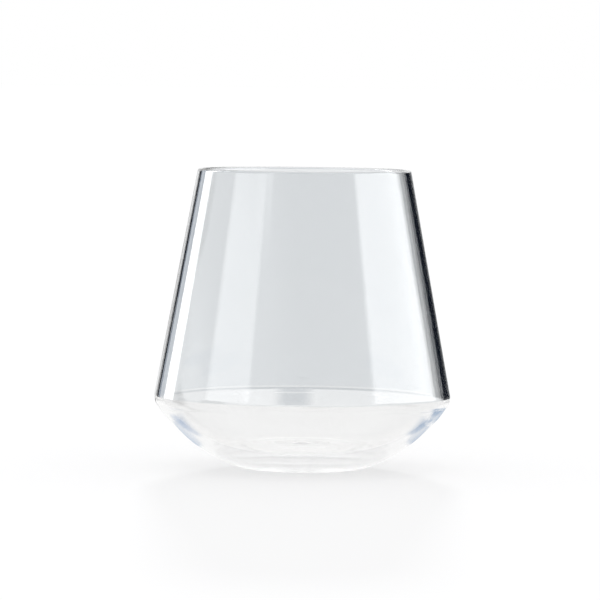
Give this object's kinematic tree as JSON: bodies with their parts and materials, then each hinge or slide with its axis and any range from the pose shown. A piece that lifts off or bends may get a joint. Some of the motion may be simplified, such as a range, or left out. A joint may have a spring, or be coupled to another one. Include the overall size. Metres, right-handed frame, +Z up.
{
  "type": "stemless wine glass",
  "caption": "Clear stemless wine glass: a thin tapered wall with a rounded lip, welded at a sharp shoulder to a rounded base bowl that thickens towards its floor and stands on a flat foot ring.",
  "frame": {"origin": "on the table, on the axis of the glass, at the middle of the foot ring", "axes": "+Z up along the axis of the glass, towards the mouth; the glass is round, so +X and +Y are any two directions across it"},
  "size_m": [0.095, 0.095, 0.096],
  "materials": {
    "clear_wall": "clear, polished, with a faint cool grey tint",
    "clear_base": "clear, polished, thicker towards the floor, with a faint cool grey tint",
    "weld": "clear set melt of the same plastic"
  },
  "bodies": {
    "root": {"side_wall": "clear_wall", "base_bowl": "clear_base", "weld_bead": "weld"}
  },
  "joints": []
}
